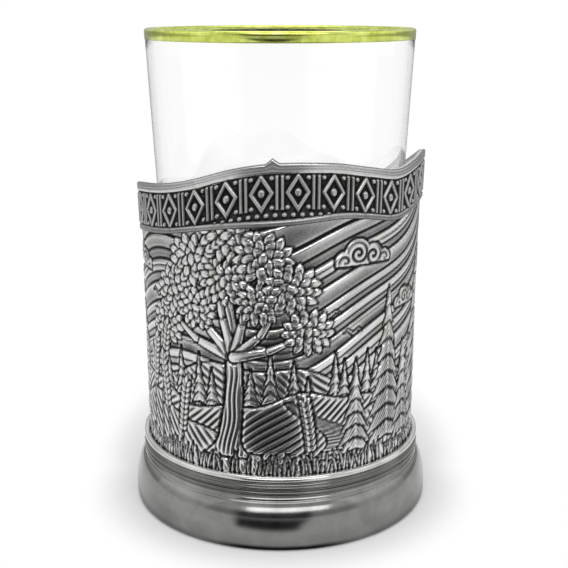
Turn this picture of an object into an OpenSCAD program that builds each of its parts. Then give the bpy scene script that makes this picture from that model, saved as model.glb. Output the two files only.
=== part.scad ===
// Tea glass holder: a footed metal sleeve with a ribbon band, a strap handle and a thin conical glass.
// Millimetres, +Z up. The origin is the middle of the foot, on the table.
// The front looks along -Y and the handle is at +Y.
// An azimuth is counted from the front: 0 is the front, 90 is +X, and 180 is the handle.

/* [Foot] */
// How far the foot's side stands out past its neck
foot_spread = 2.85; // [1.5:0.05:8]
// Height of the foot, up to the flange that the sleeve stands on
foot_h = 17.4; // [15.5:0.1:24]
// Thickness of the foot's spun sheet
foot_wall = 1.2; // [0.8:0.1:1.6]
// Width of the turned-in land that stands on the table
foot_land = 3.4; // [2.5:0.1:5]
// Height at which the foot's side begins to round in
foot_side_h = 2.4; // [1.5:0.1:5]
// Height of the rounded stretch, from there to the top of the shoulder
foot_shoulder_h = 10.2; // [8:0.1:11]
// How far the foot's neck stands out past the sleeve, to carry the bead
neck_ledge = 1.3; // [1.1:0.1:1.9]
// Radius of each thin reed round the neck
reed_r = 0.55; // [0.3:0.05:0.7]
// Radius of the hole inside the foot's top flange
foot_flange_in_r = 29; // [24:0.5:32]

/* [Sleeve] */
// Gap between the glass and the sleeve's waist, for a glass as wide as it is at the highest rim
sleeve_gap = 2.1; // [1.2:0.1:4]
// Height of the sleeve's waist above the foot
waist_rise = 15.6; // [8:0.1:32]
// How much wider the sleeve is at its highest point than at the waist
sleeve_flare = 1.1; // [0.6:0.1:2]
// Thickness of the sleeve's sheet
sleeve_wall = 1.1; // [0.8:0.1:1.4]
// Highest point of the wavy rim, at the front
rim_high_z = 98.2; // [92:0.1:104]
// Lowest stretch of the wavy rim, at the back
rim_low_z = 82; // [80:0.5:90]
// Height of the small point at the middle of the front
finial_h = 1.3; // [0.5:0.1:3]
// Azimuth of that point
finial_azimuth = -2.5; // [-10:0.5:10]
// Half the width of that point, as an angle
finial_half_angle = 3; // [2:0.5:5]

/* [Ribbon] */
// Height of the ribbon band under the rim, at the sides and the back
ribbon_h = 12.6; // [9:0.1:16]
// How much deeper the ribbon is at the middle of the front
ribbon_swell = 2.4; // [0:0.1:4]
// Half the width of that deeper stretch, as an angle
ribbon_swell_half_angle = 38; // [20:1:60]
// How far the ribbon stands out from the sleeve
ribbon_proud = 0.6; // [0.4:0.1:1]
// Height of the ribbon's raised upper border
ribbon_top_border = 2.4; // [1.5:0.1:3.5]
// Height of its raised lower border
ribbon_low_border = 1.5; // [1:0.1:2.5]
// How far the ground between the borders is sunk
ribbon_sunk = 0.3; // [0.1:0.05:0.35]

/* [Bead] */
// Diameter of the wire round the sleeve's lower edge
bead_d = 1.8; // [1.2:0.1:2]

/* [Floor pan] */
// Thickness of the disc that the glass stands on
pan_t = 1; // [0.8:0.1:1.6]
// Radius of the pan's pressed middle
pan_well_r = 24; // [18:0.5:26]
// How far the middle is pressed down
pan_well_drop = 0.8; // [0.4:0.1:1.2]

/* [Seam plate] */
// Height of the seam plate's top above the table
plate_top_z = 80.5; // [77:0.5:81.5]
// Height of its lower end
plate_low_z = 21.5; // [20.5:0.5:26]
// Width of the plate at its two ends
plate_end_w = 16; // [12:0.5:20]
// Width of the plate at its middle
plate_waist_w = 9.5; // [7:0.5:12]
// Thickness of the plate over the ribbon
plate_t = 1.2; // [0.8:0.1:1.8]

/* [Handle] */
// How far the strap's middle line reaches out from the seam plate
handle_reach = 36; // [30:0.5:42]
// Height of the strap's middle line at its highest
handle_top_z = 74; // [72:0.5:76]
// Height of the strap's middle line at the bottom of its curl
handle_low_z = 20.6; // [20:0.1:23]
// Width of the strap where it leaves the plate
strap_top_w = 10; // [8:0.1:12]
// Width of the strap at the end of its curl
strap_end_w = 5.4; // [4:0.1:7]
// Thickness of the strap where it leaves the plate
strap_top_t = 4.4; // [3:0.1:5]
// Thickness of the strap at the end of its curl
strap_end_t = 2.1; // [1.6:0.1:2.4]

/* [Thumb rest] */
// Width of the thumb rest at its widest
thumb_w = 17; // [13:0.5:20]
// Thickness of the thumb rest at its middle
thumb_t = 1.7; // [1.4:0.1:2.2]
// How far its sides curl up
thumb_cup = 1.8; // [1:0.1:2.4]
// How far its outer end lifts off the strap
thumb_lift = 1.4; // [0.6:0.1:2]

/* [Glass] */
// Height of the glass
glass_h = 109.3; // [100:0.1:115]
// Outer radius of the glass at its rim
glass_rim_r = 35; // [33:0.1:38]
// Outer radius of the glass at its base
glass_base_r = 29.4; // [28:0.1:31]
// Thickness of the glass wall
glass_wall = 1.3; // [1:0.1:1.6]
// Thickness of the glass base
glass_base_t = 4.2; // [3:0.1:6]
// Radius of the rounding round the glass base
glass_corner_r = 3; // [2:0.1:3.6]
// Height of the gilt band at the rim
gilt_h = 2.6; // [1.5:0.1:5]
// Thickness of the gilt band's solid
gilt_t = 0.12; // [0.1:0.01:0.2]

/* [Hidden] */
$fn = 96;

// How far a cutting shape runs past what it cuts
overrun = 1;
// Gap between pieces that are pressed or soldered together
seat_clear = 0.05;
// Gap between the glass and the floor pan
glass_clear = 0.2;
// Radius of the rounding under the foot's side
foot_edge_r = 0.9;
// Points on each quarter of a rounded profile
arc_steps = 6;
// How late and how sharply the foot's side rounds in to its shoulder, and the points on that stretch
shoulder_lateness = 2.6;
shoulder_sharpness = 1.7;
shoulder_steps = 12;
// Points on each reed of the neck
reed_steps = 6;
// Heights of the two reeds, as shares of the neck from the shoulder to the flange
reed_shares = [0.28, 0.66];

// Heights of the rim round the holder: an azimuth, and a share of the rise from the low rim to the high rim
rim_wave_shares = [
    [-180, 0], [-155, 0], [-130, 0.03], [-105, 0.18], [-80, 0.42], [-50, 0.57], [-35, 0.69], [-15, 0.92],
    [0, 1], [20, 0.98], [35, 0.88], [50, 0.79], [65, 0.88], [78, 0.95], [95, 0.82], [115, 0.5],
    [135, 0.15], [155, 0], [180, 0]];
// Angle between the points of the wavy rim
wave_step = 6;
rim_rise = rim_high_z - rim_low_z;
// Stretches of the sleeve's profile
sleeve_rows = 8;

// Widths of the seam plate up its height: a share of the height, and a share of the half width at the ends
plate_top_shares = [[1, 0], [0.988, 0.3], [0.972, 0.4], [0.962, 0.72], [0.945, 0.93], [0.92, 1]];
plate_low_shares = [[0.08, 1], [0.055, 0.93], [0.038, 0.72], [0.028, 0.4], [0.012, 0.3], [0, 0]];
plate_rows = 10;

// Route of the strap's middle line: shares of its reach, and shares of its height from the curl to the top
strap_route_shares = [
    [-0.03, 0.94], [0.2, 0.985], [0.5, 1], [0.79, 0.94], [0.96, 0.79], [1, 0.61], [0.9, 0.43], [0.67, 0.29],
    [0.36, 0.205], [0.13, 0.13], [0.03, 0.055], [0.115, 0], [0.235, 0.035]];
// Rings on each stretch between two points of the route
strap_steps = 4;
// Points round the strap, and how square its section is: 2 is an ellipse
strap_sides = 14;
strap_squareness = 3;

// Stretch of the strap's length that the thumb rest lies along
thumb_from_share = 0.046;
thumb_to_share = 0.229;
thumb_steps = 14;
// Columns across the thumb rest
thumb_columns = 10;
// Share of its length at which the thumb rest is widest
thumb_wide_share = 0.6;
// Lobes along the thumb rest's edge, and their depth as a share of its width
thumb_lobes = 5;
thumb_lobe_share = 0.07;

pan_top_z = foot_h + pan_t;
glass_base_z = pan_top_z + glass_clear;
glass_top_z = glass_base_z + glass_h;
waist_z = foot_h + waist_rise;
waist_r = glass_r(rim_high_z) + sleeve_gap + sleeve_wall;
sleeve_base_r = wall_r(foot_h);
foot_neck_r = sleeve_base_r + neck_ledge;
foot_r = foot_neck_r + foot_spread;

// Outer radius of the plain sleeve at height z
function wall_r(z) = waist_r + sleeve_flare * pow((z - waist_z) / (rim_high_z - waist_z), 2);

// Outer radius of the seam plate at height z
function plate_r(z) = wall_r(z) + ribbon_proud + plate_t;

// Outer radius of the glass at height z: it is full at the foot of the rounded lip
function glass_r(z) =
    glass_base_r + (glass_rim_r - glass_base_r) * (z - glass_base_z) / (glass_h - glass_wall / 2);

// Value at share t of the way from a to b
function mix(a, b, t) = a + (b - a) * t;

// Point at share t between b and c, on the smooth curve through a, b, c and d
function on_curve(a, b, c, d, t) =
    (2 * b + (c - a) * t + (2 * a - 5 * b + 4 * c - d) * t * t + (3 * b - a - 3 * c + d) * t * t * t) / 2;

// Slope of the smooth curve through the keys, at key i
function key_slope(keys, i) =
    i == 0 || i == len(keys) - 1 ? 0
    : (keys[i + 1][1] - keys[i - 1][1]) / (keys[i + 1][0] - keys[i - 1][0]);

// The key that opens the stretch holding azimuth a
function key_before(keys, a, i = 0) =
    i >= len(keys) - 2 || a < keys[i + 1][0] ? i : key_before(keys, a, i + 1);

// Smooth value between keys i and i + 1 at share t, with slopes that run on from stretch to stretch
function key_blend(keys, i, t) =
    let (w = keys[i + 1][0] - keys[i][0])
    mix(keys[i][1], keys[i + 1][1], t * t * (3 - 2 * t))
    + w * t * (1 - t) * (key_slope(keys, i) * (1 - t) - key_slope(keys, i + 1) * t);

function key_value(keys, a) =
    let (i = key_before(keys, a))
    key_blend(keys, i, (a - keys[i][0]) / (keys[i + 1][0] - keys[i][0]));

// Height of the wavy rim at azimuth a, from -180 to 180
function rim_z(a) = rim_low_z + rim_rise * key_value(rim_wave_shares, a);

// Height of the small point at the middle of the front
function finial_z(a) = finial_h * max(0, 1 - abs(a - finial_azimuth) / finial_half_angle);

// Height of the ribbon's lower edge at azimuth a
function ribbon_low_z(a) =
    let (near = max(0, 1 - abs(a - finial_azimuth) / ribbon_swell_half_angle))
    rim_z(a) - ribbon_h - ribbon_swell * pow(sin(90 * near), 2);

// Points of an arc round a centre, from one angle to another
function arc(r_mid, z_mid, rx, rz, from, to, steps) =
    [for (i = [0:steps]) let (a = mix(from, to, i / steps)) [r_mid + rx * cos(a), z_mid + rz * sin(a)]];

// Outline of the foot's side and shoulder from its neck down to its upright stretch, moved in by a distance
function shoulder_line(inward) =
    [for (i = [shoulder_steps:-1:0])
        let (t = i / shoulder_steps, share = pow(1 - pow(t, shoulder_lateness), 1 / shoulder_sharpness))
        [mix(foot_neck_r, foot_r, share) - inward, foot_side_h + foot_shoulder_h * t]];

// Outline of the plain sleeve's outer side from height a up to height b, moved out by a distance
function wall_line(a, b, out) =
    [for (i = [0:sleeve_rows]) let (z = mix(a, b, i / sleeve_rows)) [wall_r(z) + out, z]];

// A list from its end to its start
function backwards(list) = [for (i = [len(list) - 1:-1:0]) list[i]];

// Solid of revolution between the plain sleeve's line moved by one distance and by another
module sleeve_ring(from_z, to_z, inner, outer) {
    rotate_extrude()
        polygon(concat(wall_line(from_z, to_z, outer), backwards(wall_line(from_z, to_z, inner))));
}

// Ring between a flat height and a wavy line: all that is above the rim, or all that is below the ribbon.
// A border moves the wavy line into the ribbon.
module wave_ring(flat_z, at_rim, border = 0) {
    angles = [for (a = [-180:wave_step:180 - wave_step]) a];
    with_point = at_rim && border == 0;
    peaks = with_point ? [finial_azimuth - finial_half_angle, finial_azimuth,
        finial_azimuth + finial_half_angle] : [];
    inside = [for (a = angles) if (len([for (p = peaks) if (abs(a - p) < wave_step / 2) p]) == 0) a];
    azimuths = with_point ? concat([for (a = inside) if (a < peaks[0]) a], peaks,
        [for (a = inside) if (a > peaks[2]) a]) : angles;
    n = len(azimuths);
    r_in = waist_r - sleeve_wall - overrun;
    r_out = wall_r(rim_high_z) + ribbon_proud + overrun;
    points = [for (a = azimuths) each
        let (rim = with_point ? rim_z(a) + finial_z(a) : rim_z(a) - border,
            z = at_rim ? rim : ribbon_low_z(a) + border,
            s = sin(a), c = -cos(a))
        [[r_in * s, r_in * c, z], [r_out * s, r_out * c, z],
        [r_out * s, r_out * c, flat_z], [r_in * s, r_in * c, flat_z]]];
    faces = [for (i = [0:n - 1]) each
        let (p = 4 * i, q = 4 * ((i + 1) % n))
        [for (k = [0:3]) each
            let (m = (k + 1) % 4)
            at_rim ? [[p + k, q + m, q + k], [p + k, p + m, q + m]]
            : [[p + k, q + k, q + m], [p + k, q + m, p + m]]]];
    polyhedron(points, faces);
}

// Outline of the seam plate seen from behind, grown sideways by a distance
function plate_half(grow) =
    let (h = plate_top_z - plate_low_z,
        low = plate_low_shares[0][0],
        high = plate_top_shares[len(plate_top_shares) - 1][0])
    concat(
        [for (p = plate_top_shares) [p[1] * plate_end_w / 2 + grow, plate_low_z + p[0] * h]],
        [for (i = [1:plate_rows - 1])
            let (t = i / plate_rows, bow = pow(cos(180 * t), 2))
            [mix(plate_waist_w, plate_end_w, bow) / 2 + grow, plate_low_z + mix(high, low, t) * h]],
        [for (p = plate_low_shares) [p[1] * plate_end_w / 2 + grow, plate_low_z + p[0] * h]]);

module plate_outline(grow) {
    half = plate_half(grow);
    polygon(concat(half, [for (p = backwards(half)) [-p[0], p[1]]]));
}

// The plate's outline, stretched from the middle of the holder out to the back
module plate_prism(grow) {
    rotate([90, 0, 180])
        linear_extrude(plate_r(rim_high_z) + overrun)
            plate_outline(grow);
}

// The sunk ground of the ribbon, between its two raised borders
module ribbon_ground() {
    difference() {
        sleeve_ring(rim_low_z - ribbon_h, rim_high_z, ribbon_proud - ribbon_sunk, ribbon_proud + overrun / 2);
        wave_ring(rim_low_z - ribbon_h - overrun, false, ribbon_low_border);
        wave_ring(rim_high_z + overrun, true, ribbon_top_border);
    }
}

module body_shell() {
    color("silver")
        difference() {
            union() {
                sleeve_ring(foot_h, rim_high_z + finial_h, -sleeve_wall, 0);
                difference() {
                    sleeve_ring(rim_low_z - ribbon_h - overrun, rim_high_z + finial_h,
                        -sleeve_wall / 2, ribbon_proud);
                    wave_ring(rim_low_z - ribbon_h - 2 * overrun, false);
                    plate_prism(seat_clear);
                    ribbon_ground();
                }
            }
            wave_ring(rim_high_z + finial_h + overrun, true);
        }
}

module foot_shell() {
    neck_low = foot_side_h + foot_shoulder_h;
    neck_h = foot_h - neck_low;
    outer = concat(
        arc(foot_r - foot_edge_r, foot_edge_r, foot_edge_r, foot_edge_r, -90, 0, arc_steps),
        backwards(shoulder_line(0)),
        [for (share = reed_shares) each
            arc(foot_neck_r, neck_low + share * neck_h, reed_r, reed_r, -90, 90, reed_steps)],
        [[foot_neck_r, foot_h]]);
    inner = concat(
        [[foot_flange_in_r, foot_h], [foot_flange_in_r, foot_h - foot_wall],
        [foot_neck_r - foot_wall, foot_h - foot_wall]],
        shoulder_line(foot_wall),
        [[foot_r - foot_wall, foot_wall], [foot_r - foot_land, foot_wall], [foot_r - foot_land, 0]]);
    color("darkgray")
        rotate_extrude()
            polygon(concat(outer, inner));
}

module floor_pan() {
    pan_r = sleeve_base_r - sleeve_wall - seat_clear;
    color("gray")
        rotate_extrude()
            polygon([
                [0, foot_h - pan_well_drop], [pan_well_r, foot_h - pan_well_drop],
                [pan_well_r + pan_well_drop, foot_h], [pan_r, foot_h],
                [pan_r, pan_top_z], [pan_well_r + pan_well_drop - pan_t / 2, pan_top_z],
                [pan_well_r - pan_t / 2, pan_top_z - pan_well_drop], [0, pan_top_z - pan_well_drop]]);
}

module base_bead() {
    color("silver")
        rotate_extrude()
            translate([sleeve_base_r + seat_clear + bead_d / 2, foot_h + seat_clear + bead_d / 2])
                circle(d = bead_d);
}

module seam_plate() {
    color("silver")
        intersection() {
            sleeve_ring(plate_low_z - overrun, plate_top_z + overrun, seat_clear, ribbon_proud + plate_t);
            plate_prism(0);
        }
}

// Middle line of the strap at place s, counted in points of its route
function strap_place(s) =
    let (last = len(strap_route_shares) - 1,
        i = max(min(floor(s), last - 1), 0),
        share = on_curve(strap_route_shares[max(i - 1, 0)], strap_route_shares[i],
            strap_route_shares[i + 1], strap_route_shares[min(i + 2, last)], s - i),
        z = mix(handle_low_z, handle_top_z, share[1]))
    [plate_r(z) + handle_reach * share[0], z];

// Direction of the strap at place s, and the direction square to it that points out of the loop
function strap_along(s) =
    let (near = 0.01, d = strap_place(s + near) - strap_place(s - near))
    d / norm(d);
function strap_outward(s) =
    let (d = strap_along(s))
    [-d[1], d[0]];

// Share of the strap's length at place s
function strap_share(s) = s / (len(strap_route_shares) - 1);

function signed_power(v, p) = sign(v) * pow(abs(v), p);

// One ring of a loft: places across and outward, at place s of the strap's route
function ring_at(s, across_outward) =
    let (p = strap_place(s), n = strap_outward(s))
    [for (q = across_outward) [q[0], p[0] + n[0] * q[1], p[1] + n[1] * q[1]]];

// Closed skin over rings that all have the same number of points
module loft(rings) {
    n = len(rings[0]);
    last = (len(rings) - 1) * n;
    points = [for (ring = rings) each ring];
    sides = [for (r = [0:len(rings) - 2]) each [for (k = [0:n - 1]) each
        let (a = r * n + k, b = r * n + (k + 1) % n)
        [[a, b, b + n], [a, b + n, a + n]]]];
    polyhedron(points, concat(sides, [[for (k = [n - 1:-1:0]) k]], [[for (k = [0:n - 1]) last + k]]));
}

module handle_loop() {
    spans = len(strap_route_shares) - 1;
    places = [for (i = [0:spans * strap_steps]) i / strap_steps];
    rings = [for (s = places)
        let (w = mix(strap_top_w, strap_end_w, strap_share(s)) / 2,
            t = mix(strap_top_t, strap_end_t, strap_share(s)) / 2)
        ring_at(s, [for (k = [0:strap_sides - 1])
            let (a = 360 * (k + 0.5) / strap_sides, p = 2 / strap_squareness)
            [w * signed_power(cos(a), p), t * signed_power(sin(a), p)]])];
    color("silver")
        difference() {
            loft(rings);
            sleeve_ring(plate_low_z - overrun, plate_top_z + overrun, -sleeve_wall,
                ribbon_proud + plate_t + seat_clear);
        }
}

// Half the width of the thumb rest at share u of its length
function thumb_half(u) =
    (u < thumb_wide_share
    ? mix(strap_top_w, thumb_w, sin(90 * u / thumb_wide_share))
    : thumb_w * sqrt(1 - pow((u - thumb_wide_share) / (1.04 - thumb_wide_share), 2))) / 2
    * (1 - thumb_lobe_share * (1 - abs(sin(180 * thumb_lobes * u))));

module thumb_rest() {
    spans = len(strap_route_shares) - 1;
    rings = [for (i = [0:thumb_steps])
        let (u = i / thumb_steps,
            s = spans * mix(thumb_from_share, thumb_to_share, u),
            half = thumb_half(u),
            under = mix(strap_top_t, strap_end_t, strap_share(s)) / 2 + seat_clear + thumb_lift * u * u * u,
            xs = [for (c = [0:thumb_columns]) mix(-half, half, c / thumb_columns)],
            low = [for (x = xs) [x, under + thumb_cup * pow(2 * x / thumb_w, 2)]],
            high = [for (x = backwards(xs))
                [x, under + thumb_cup * pow(2 * x / thumb_w, 2) + thumb_t * (1 - 0.6 * pow(x / half, 2))]])
        ring_at(s, concat(low, high))];
    color("silver")
        loft(rings);
}

module tea_glass() {
    lip = glass_wall / 2;
    inner_low = glass_base_z + glass_base_t;
    inner_r = glass_r(inner_low) - glass_wall - glass_corner_r;
    color("lightcyan", 0.4)
        rotate_extrude()
            polygon(concat(
                [[0, glass_base_z]],
                arc(glass_r(glass_base_z + glass_corner_r) - glass_corner_r, glass_base_z + glass_corner_r,
                    glass_corner_r, glass_corner_r, -90, 0, arc_steps),
                arc(glass_rim_r - lip, glass_top_z - lip, lip, lip, 0, 180, arc_steps),
                arc(inner_r, inner_low + glass_corner_r, glass_corner_r, glass_corner_r, 0, -90, arc_steps),
                [[0, inner_low]]));
}

module gilt_rim() {
    high = glass_top_z - glass_wall / 2;
    low = high - gilt_h;
    color("gold")
        rotate_extrude()
            polygon([
                [glass_r(low) + seat_clear, low], [glass_r(low) + seat_clear + gilt_t, low],
                [glass_rim_r + seat_clear + gilt_t, high], [glass_rim_r + seat_clear, high]]);
}

body_shell();
foot_shell();
floor_pan();
base_bead();
seam_plate();
handle_loop();
thumb_rest();
tea_glass();
gilt_rim();
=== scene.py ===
import math
import random

import bmesh
import bpy
import numpy as np
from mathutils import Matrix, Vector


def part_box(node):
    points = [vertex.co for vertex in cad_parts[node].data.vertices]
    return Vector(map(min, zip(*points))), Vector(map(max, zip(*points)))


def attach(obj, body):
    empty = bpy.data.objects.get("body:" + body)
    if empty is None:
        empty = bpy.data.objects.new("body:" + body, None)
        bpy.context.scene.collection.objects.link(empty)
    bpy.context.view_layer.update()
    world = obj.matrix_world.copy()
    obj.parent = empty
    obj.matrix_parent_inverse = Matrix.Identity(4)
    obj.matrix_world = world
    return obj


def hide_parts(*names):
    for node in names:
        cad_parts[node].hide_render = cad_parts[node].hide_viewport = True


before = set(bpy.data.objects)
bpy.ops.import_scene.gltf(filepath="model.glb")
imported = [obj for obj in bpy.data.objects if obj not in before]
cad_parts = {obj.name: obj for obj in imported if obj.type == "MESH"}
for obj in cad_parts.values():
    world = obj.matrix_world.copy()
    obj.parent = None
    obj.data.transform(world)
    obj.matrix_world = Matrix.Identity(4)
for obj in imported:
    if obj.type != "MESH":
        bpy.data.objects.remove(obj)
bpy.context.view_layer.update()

# Everything below is worked out in millimetres and degrees, and becomes metres when a mesh is made.
# An azimuth is counted from the front: 0 is the front (-Y), 90 is +X, and 180 is the handle (+Y).
MM = 0.001
DEG = math.radians(1)


# Camera

CAMERA_X = 1.0
CAMERA_BACK = 279.5
CAMERA_UP = 133.9
CAMERA_PITCH = 14.96
CAMERA_LENS = 66.4
CAMERA_NEAR = 10


def make_camera():
    data = bpy.data.cameras.new("camera")
    data.lens = CAMERA_LENS
    data.clip_start = CAMERA_NEAR * MM
    camera = bpy.data.objects.new("camera", data)
    camera.location = (CAMERA_X * MM, -CAMERA_BACK * MM, CAMERA_UP * MM)
    camera.rotation_euler = ((90 - CAMERA_PITCH) * DEG, 0, 0)
    bpy.context.scene.collection.objects.link(camera)
    bpy.context.scene.camera = camera


make_camera()


# Sizes: those of the CAD nodes, and the few that their boxes can't give

def box_mm(node):
    """The lowest and highest corners of a CAD node, in millimetres."""
    low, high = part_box(node)
    return np.array(low) / MM, np.array(high) / MM


FOOT_HIGH = box_mm("foot_shell")[1]
SLEEVE_LOW = box_mm("body_shell")[0]
PAN_LOW, PAN_HIGH = box_mm("floor_pan")
BEAD_LOW, BEAD_HIGH = box_mm("base_bead")
PLATE_LOW, PLATE_HIGH = box_mm("seam_plate")
GLASS_LOW, GLASS_HIGH = box_mm("tea_glass")
GILT_LOW = box_mm("gilt_rim")[0]

WAIST_R = 36.7
WAIST_Z = 33
FLARE = 1.1
SHEET = 1.1
FINIAL_H = 1.3
FINIAL_AZIMUTH = -2.5
FINIAL_HALF = 3
FINIAL_SHARPNESS = 1.5
RIM_HIGH = 98.2
RIM_LOW = 82
RIBBON_H = 12.6
RIBBON_SWELL = 2.4
SWELL_HALF = 38
RIBBON_PROUD = 0.6
PLATE_T = 1.2

RIM_WAVE_SHARES = (
    (-180, 0), (-155, 0), (-130, 0.03), (-105, 0.18), (-80, 0.42), (-50, 0.57), (-35, 0.69), (-15, 0.92),
    (0, 1), (20, 0.98), (35, 0.88), (50, 0.79), (65, 0.88), (78, 0.95), (95, 0.82), (115, 0.5), (135, 0.15),
    (155, 0), (180, 0))


def wall_r(z):
    """Outer radius of the plain sleeve at height z."""
    return WAIST_R + FLARE * ((z - WAIST_Z) / (RIM_HIGH - WAIST_Z)) ** 2


def rim_z(azimuth):
    """Height of the wavy rim at each azimuth, on a smooth curve through its keys."""
    keys = np.array(RIM_WAVE_SHARES, float)
    x, y = keys[:, 0], keys[:, 1]
    slope = np.zeros(len(x))
    slope[1:-1] = (y[2:] - y[:-2]) / (x[2:] - x[:-2])
    a = np.asarray(azimuth, float)
    i = np.clip(np.searchsorted(x, a, side="right") - 1, 0, len(x) - 2)
    w = x[i + 1] - x[i]
    t = (a - x[i]) / w
    share = y[i] + (y[i + 1] - y[i]) * t * t * (3 - 2 * t)
    share = share + w * t * (1 - t) * (slope[i] * (1 - t) - slope[i + 1] * t)
    return RIM_LOW + (RIM_HIGH - RIM_LOW) * share


def finial_z(azimuth):
    """Height of the small point at the middle of the front."""
    near = 1 - np.abs(azimuth - FINIAL_AZIMUTH) / FINIAL_HALF
    return FINIAL_H * np.clip(near, 0, 1) ** FINIAL_SHARPNESS


def ribbon_low(azimuth):
    """Height of the ribbon's lower edge, which hangs lower at the middle of the front."""
    near = np.clip(1 - np.abs(azimuth - FINIAL_AZIMUTH) / SWELL_HALF, 0, 1)
    return rim_z(azimuth) - RIBBON_H - RIBBON_SWELL * np.sin(np.pi / 2 * near) ** 2


# Mesh helpers

SEGMENTS = 256
TONE_GAINS = (3.2, 1.9)


def turn_outward(mesh):
    work = bmesh.new()
    work.from_mesh(mesh)
    bmesh.ops.recalc_face_normals(work, faces=work.faces)
    work.to_mesh(mesh)
    work.free()


def add_mesh(name, points, faces, material, body, nodes=(), tone=None, smooth=True):
    """A piece from points in millimetres. It rides on a body and stands for the CAD nodes given."""
    mesh = bpy.data.meshes.new(name)
    mesh.from_pydata([tuple(p) for p in np.asarray(points) * MM], [], [tuple(f) for f in faces])
    mesh.validate()
    turn_outward(mesh)
    mesh.shade_smooth() if smooth else mesh.shade_flat()
    if tone is not None:
        field = mesh.attributes.new("tone", "FLOAT", "POINT")
        field.data.foreach_set("value", np.asarray(tone, np.float32).ravel())
    mesh.materials.append(material)
    piece = bpy.data.objects.new(name, mesh)
    bpy.context.scene.collection.objects.link(piece)
    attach(piece, body)
    if nodes:
        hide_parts(*nodes)
    return piece


def grid_faces(rows, columns, wrap_rows=False, wrap_columns=False):
    """Quads over a grid of points, row by row."""
    faces = []
    for r in range(rows if wrap_rows else rows - 1):
        below, above = r * columns, ((r + 1) % rows) * columns
        for c in range(columns if wrap_columns else columns - 1):
            d = (c + 1) % columns
            faces.append((below + c, below + d, above + d, above + c))
    return faces


def on_ring(azimuth, radius, z):
    """Points at azimuths and radii round the holder's axis."""
    a = np.radians(azimuth)
    x, y, z = np.broadcast_arrays(radius * np.sin(a), -radius * np.cos(a), z)
    return np.stack([x, y, z], axis=-1).reshape(-1, 3)


def lathe(name, profile, material, body, nodes=(), segments=SEGMENTS):
    """A closed profile of (radius, height) points, turned. Points on the axis close the ends."""
    azimuths = np.arange(segments) * 360 / segments
    rings = [p for p in profile if p[0] > 0]
    points = np.concatenate([on_ring(azimuths, r, z) for r, z in rings])
    n = len(rings)
    closed = n == len(profile)
    faces = grid_faces(n, segments, wrap_rows=closed, wrap_columns=True)
    points = list(points)
    if not closed:
        for ring, height in ((0, profile[0][1]), (n - 1, profile[-1][1])):
            hub = len(points)
            points.append((0, 0, height))
            for c in range(segments):
                a, b = ring * segments + c, ring * segments + (c + 1) % segments
                faces.append((hub, b, a) if ring == 0 else (hub, a, b))
    return add_mesh(name, points, faces, material, body, nodes)


def arc(r_mid, z_mid, rx, rz, start, end, steps):
    """Points of an elliptical arc in a profile."""
    angles = np.radians(np.linspace(start, end, steps + 1))
    return [(r_mid + rx * math.cos(a), z_mid + rz * math.sin(a)) for a in angles]


def squared(wave, power):
    """A wave with its shape kept and its swings made fuller, where power is below 1."""
    return np.sign(wave) * np.abs(wave) ** power


def smooth_step(low, high, value):
    t = np.clip((value - low) / (high - low), 0, 1)
    return t * t * (3 - 2 * t)


def blur(field, reach, wrap=True):
    """Box blur over a field, run twice. Columns wrap round the holder."""
    out = field
    for _ in range(2):
        side = sum(np.roll(out, k, axis=1) for k in range(-reach, reach + 1)) / (2 * reach + 1)
        if not wrap:
            side[:, :reach] = out[:, :reach]
            side[:, -reach:] = out[:, -reach:]
        padded = np.pad(side, ((reach, reach), (0, 0)), mode="edge")
        out = sum(padded[k:k + len(side)] for k in range(2 * reach + 1)) / (2 * reach + 1)
    return out


def tone_of(height, fine=1, wide=4, wrap=True):
    """How bright the metal is rubbed, from 0 in the recesses to 1 on the high spots."""
    near = height - blur(height, fine, wrap)
    far = height - blur(height, wide, wrap)
    return np.clip(0.5 + TONE_GAINS[0] * near + TONE_GAINS[1] * far, 0, 1)


# Materials

def feed(tree, node, inputs):
    """Sets a node's inputs to values, or links them to the outputs of other nodes."""
    for key, value in inputs.items():
        if isinstance(value, bpy.types.NodeSocket):
            tree.links.new(value, node.inputs[key])
        elif node.inputs[key].type == "RGBA":
            node.inputs[key].default_value = (*value, 1)
        else:
            node.inputs[key].default_value = value


def add_node(tree, kind, inputs, **settings):
    node = tree.nodes.new("ShaderNode" + kind)
    for name, value in settings.items():
        setattr(node, name, value)
    feed(tree, node, inputs)
    return node


def new_material(name):
    material = bpy.data.materials.new(name)
    material.use_nodes = True
    tree = material.node_tree
    tree.nodes.clear()
    shader = add_node(tree, "BsdfPrincipled", {})
    add_node(tree, "OutputMaterial", {"Surface": shader.outputs["BSDF"]})
    return material, tree, shader


def object_coords(tree):
    return add_node(tree, "TexCoord", {}).outputs["Object"]


def parts_of(tree, vector):
    return add_node(tree, "SeparateXYZ", {"Vector": vector}).outputs


def length_of(tree, vector):
    return add_node(tree, "VectorMath", {0: vector}, operation="LENGTH").outputs["Value"]


def noise(tree, vector, size_mm, detail=3, roughness=0.5):
    inputs = {"Vector": vector, "Scale": 1 / (size_mm * MM), "Detail": detail, "Roughness": roughness}
    return add_node(tree, "TexNoise", inputs).outputs["Fac"]


def scaled(tree, vector, scale, shift=(0, 0, 0)):
    return add_node(tree, "Mapping", {"Vector": vector, "Scale": scale, "Location": shift}).outputs["Vector"]


def ramp(tree, value, stops):
    """Colours or greys between stops, each a place and one or three parts."""
    node = add_node(tree, "ValToRGB", {"Fac": value})
    while len(node.color_ramp.elements) < len(stops):
        node.color_ramp.elements.new(0.5)
    for element, (place, colour) in zip(node.color_ramp.elements, stops):
        element.position = place
        element.color = (*colour, 1) if len(colour) == 3 else (*colour * 3, 1)
    return node.outputs["Color"]


def math_node(tree, operation, *values):
    return add_node(tree, "Math", dict(enumerate(values)), operation=operation).outputs["Value"]


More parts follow.
